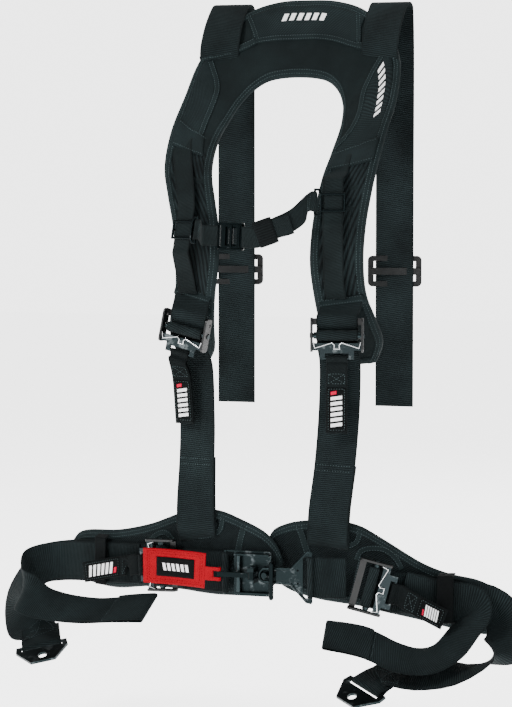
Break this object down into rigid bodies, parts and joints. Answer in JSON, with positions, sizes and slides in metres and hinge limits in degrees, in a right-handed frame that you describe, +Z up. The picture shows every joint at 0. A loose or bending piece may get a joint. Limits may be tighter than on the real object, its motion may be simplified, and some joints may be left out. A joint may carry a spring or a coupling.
{
  "type": "racing harness",
  "caption": "Padded racing harness with a one-piece shoulder yoke, chest strap, lap pads with a latch-and-link buckle, webbing adjusters and bolt-in end brackets.",
  "frame": {"origin": "axis of the harness bar the shoulder straps fold over, midway between the two straps", "axes": "+X along the bar, to the viewer's right seen from the front; -Y towards the wearer's front; +Z up"},
  "size_m": [0.7152, 0.3284, 0.8634],
  "materials": {
    "pad_fabric": "matte ribbed fabric",
    "webbing": "woven webbing",
    "tab_fabric": "stitched webbing",
    "elastic": "elastic band",
    "red_webbing": "red stitched webbing",
    "slide_paint": "black coating, worn edges",
    "zinc_steel": "zinc plated",
    "bright_steel": "bright plated",
    "dark_steel": "dark plated",
    "latch_steel": "satin plated"
  },
  "bodies": {
    "harness": {"neck_pad": "pad_fabric", "left_shoulder_pad": "pad_fabric", "right_shoulder_pad": "pad_fabric", "left_shoulder_strap": "webbing", "right_shoulder_strap": "webbing", "left_chest_runner": "webbing", "right_chest_runner": "webbing", "left_hem_strap": "webbing", "right_hem_strap": "webbing", "left_lower_strap": "webbing", "right_lower_strap": "webbing", "left_lap_pad": "pad_fabric", "right_lap_pad": "pad_fabric", "left_lap_strap": "webbing", "left_lap_tail": "webbing", "right_lap_strap": "webbing", "right_lap_tail": "webbing", "left_lap_keeper": "elastic", "right_lap_keeper": "elastic", "latch_base": "latch_steel", "latch_roller": "latch_steel", "latch_pin": "latch_steel", "latch_strap": "webbing", "link_strap": "webbing"},
    "left_rear_slide": {"left_rear_slide": "slide_paint"},
    "right_rear_slide": {"right_rear_slide": "slide_paint"},
    "left_chest_slider": {"left_chest_slider": "bright_steel"},
    "right_chest_slider": {"right_chest_slider": "bright_steel"},
    "left_chest_half": {"left_chest_strap": "webbing", "chest_buckle_frame": "dark_steel"},
    "right_chest_half": {"right_chest_strap": "webbing", "chest_buckle_tongue": "dark_steel"},
    "chest_keeper": {"chest_keeper": "elastic"},
    "latch_lever": {"latch_lever": "latch_steel"},
    "release_tab": {"release_tab": "red_webbing"},
    "link": {"link_plate": "latch_steel", "link_cross_pin": "latch_steel"},
    "left_lap_bracket": {"left_lap_bracket": "zinc_steel"},
    "right_lap_bracket": {"right_lap_bracket": "zinc_steel"},
    "left_shoulder_adjuster": {"left_shoulder_adjuster": "dark_steel", "left_shoulder_lever": "dark_steel", "left_shoulder_spring": "bright_steel"},
    "left_shoulder_bar": {"left_shoulder_bar": "bright_steel"},
    "left_shoulder_tab": {"left_shoulder_tab": "tab_fabric"},
    "right_shoulder_adjuster": {"right_shoulder_adjuster": "dark_steel", "right_shoulder_lever": "dark_steel", "right_shoulder_spring": "bright_steel"},
    "right_shoulder_bar": {"right_shoulder_bar": "bright_steel"},
    "right_shoulder_tab": {"right_shoulder_tab": "tab_fabric"},
    "left_lap_adjuster": {"left_lap_adjuster": "dark_steel", "left_lap_lever": "dark_steel", "left_lap_spring": "bright_steel"},
    "left_lap_bar": {"left_lap_bar": "bright_steel"},
    "left_lap_tab": {"left_lap_tab": "tab_fabric"},
    "right_lap_adjuster": {"right_lap_adjuster": "dark_steel", "right_lap_lever": "dark_steel", "right_lap_spring": "bright_steel"},
    "right_lap_bar": {"right_lap_bar": "bright_steel"},
    "right_lap_tab": {"right_lap_tab": "tab_fabric"}
  },
  "joints": [
    {"name": "left_rear_slide_travel", "type": "slide", "parent": "harness", "child": "left_rear_slide", "axis": [0, 0, 1], "range_m": [-0.1, 0.1]},
    {"name": "right_rear_slide_travel", "type": "slide", "parent": "harness", "child": "right_rear_slide", "axis": [0, 0, 1], "range_m": [-0.1, 0.1]},
    {"name": "right_chest_height", "type": "slide", "parent": "harness", "child": "right_chest_slider", "axis": [-0.0582, 0.2173, 0.9744], "range_m": [-0.012, 0.012]},
    {"name": "left_chest_height", "type": "slide", "parent": "harness", "child": "left_chest_slider", "axis": [0.0695, 0.2139, 0.9744], "range_m": [-0.012, 0.012]},
    {"name": "left_chest_swing", "type": "hinge", "parent": "left_chest_slider", "child": "left_chest_half", "pos_m": [-0.08581, -0.21207, -0.27445], "axis": [0.0695, 0.2139, 0.9744], "range_deg": [0, 20]},
    {"name": "right_chest_swing", "type": "hinge", "parent": "right_chest_slider", "child": "right_chest_half", "pos_m": [0.06637, -0.207, -0.23945], "axis": [-0.0582, 0.2173, 0.9744], "range_deg": [0, 45]},
    {"name": "chest_keeper_slide", "type": "slide", "parent": "right_chest_half", "child": "chest_keeper", "axis": [0.8986, 0.2747, 0.342], "range_m": [-0.003, 0.003]},
    {"name": "left_shoulder_tilt", "type": "hinge", "parent": "harness", "child": "left_shoulder_adjuster", "pos_m": [-0.098, -0.217, -0.4], "axis": [-0.9568, 0.2034, 0.2079], "range_deg": [0, 25]},
    {"name": "left_shoulder_bar_travel", "type": "slide", "parent": "left_shoulder_adjuster", "child": "left_shoulder_bar", "axis": [0.2034, -0.0432, 0.9781], "range_m": [0, 0.0006]},
    {"name": "left_shoulder_tab_swing", "type": "hinge", "parent": "left_shoulder_adjuster", "child": "left_shoulder_tab", "pos_m": [-0.10467, -0.2209, -0.4269], "axis": [-0.9568, 0.2034, 0.2079], "range_deg": [0, 60]},
    {"name": "right_shoulder_tilt", "type": "hinge", "parent": "harness", "child": "right_shoulder_adjuster", "pos_m": [0.098, -0.217, -0.402], "axis": [-0.9744, -0.225, 0], "range_deg": [0, 25]},
    {"name": "right_shoulder_bar_travel", "type": "slide", "parent": "right_shoulder_adjuster", "child": "right_shoulder_bar", "axis": [0, 0, 1], "range_m": [0, 0.0006]},
    {"name": "right_shoulder_tab_swing", "type": "hinge", "parent": "right_shoulder_adjuster", "child": "right_shoulder_tab", "pos_m": [0.09917, -0.22207, -0.4295], "axis": [-0.9744, -0.225, 0], "range_deg": [0, 60]},
    {"name": "left_lap_tilt", "type": "hinge", "parent": "harness", "child": "left_lap_adjuster", "pos_m": [-0.126, -0.229, -0.693], "axis": [-0.0506, 0.0135, 0.9986], "range_deg": [0, 20]},
    {"name": "left_lap_bar_travel", "type": "slide", "parent": "left_lap_adjuster", "child": "left_lap_bar", "axis": [0.9646, -0.2585, 0.0523], "range_m": [0, 0.0006]},
    {"name": "left_lap_tab_swing", "type": "hinge", "parent": "left_lap_adjuster", "child": "left_lap_tab", "pos_m": [-0.15387, -0.22692, -0.69444], "axis": [-0.0506, 0.0135, 0.9986], "range_deg": [0, 50]},
    {"name": "right_lap_tilt", "type": "hinge", "parent": "harness", "child": "right_lap_adjuster", "pos_m": [0.142, -0.217, -0.71], "axis": [-0.2511, -0.0626, -0.9659], "range_deg": [0, 20]},
    {"name": "right_lap_bar_travel", "type": "slide", "parent": "right_lap_adjuster", "child": "right_lap_bar", "axis": [-0.9372, -0.2337, 0.2588], "range_m": [0, 0.0006]},
    {"name": "right_lap_tab_swing", "type": "hinge", "parent": "right_lap_adjuster", "child": "right_lap_tab", "pos_m": [0.16903, -0.21562, -0.71712], "axis": [-0.2511, -0.0626, -0.9659], "range_deg": [0, 50]},
    {"name": "latch_lever_swing", "type": "hinge", "parent": "harness", "child": "latch_lever", "pos_m": [0, -0.2555, -0.697], "axis": [0, 0, 1], "range_deg": [0, 100]},
    {"name": "release_tab_swing", "type": "hinge", "parent": "latch_lever", "child": "release_tab", "pos_m": [-0.043, -0.2555, -0.697], "axis": [0, 0, 1], "range_deg": [0, 60]},
    {"name": "link_swing", "type": "hinge", "parent": "harness", "child": "link", "pos_m": [0.074, -0.2485, -0.697], "axis": [0, 0, 1], "range_deg": [0, 30]},
    {"name": "left_lap_bracket_swing", "type": "hinge", "parent": "harness", "child": "left_lap_bracket", "pos_m": [-0.306, -0.188, -0.811], "axis": [0.9192, 0.3345, 0.2079], "range_deg": [-30, 30]},
    {"name": "right_lap_bracket_swing", "type": "hinge", "parent": "harness", "child": "right_lap_bracket", "pos_m": [0.15, -0.262, -0.826], "axis": [0.8101, -0.5261, -0.2588], "range_deg": [-30, 30]}
  ],
  "couplings": [
    {"joint": "left_chest_height", "follows": "right_chest_height", "ratio": 1}
  ]
}
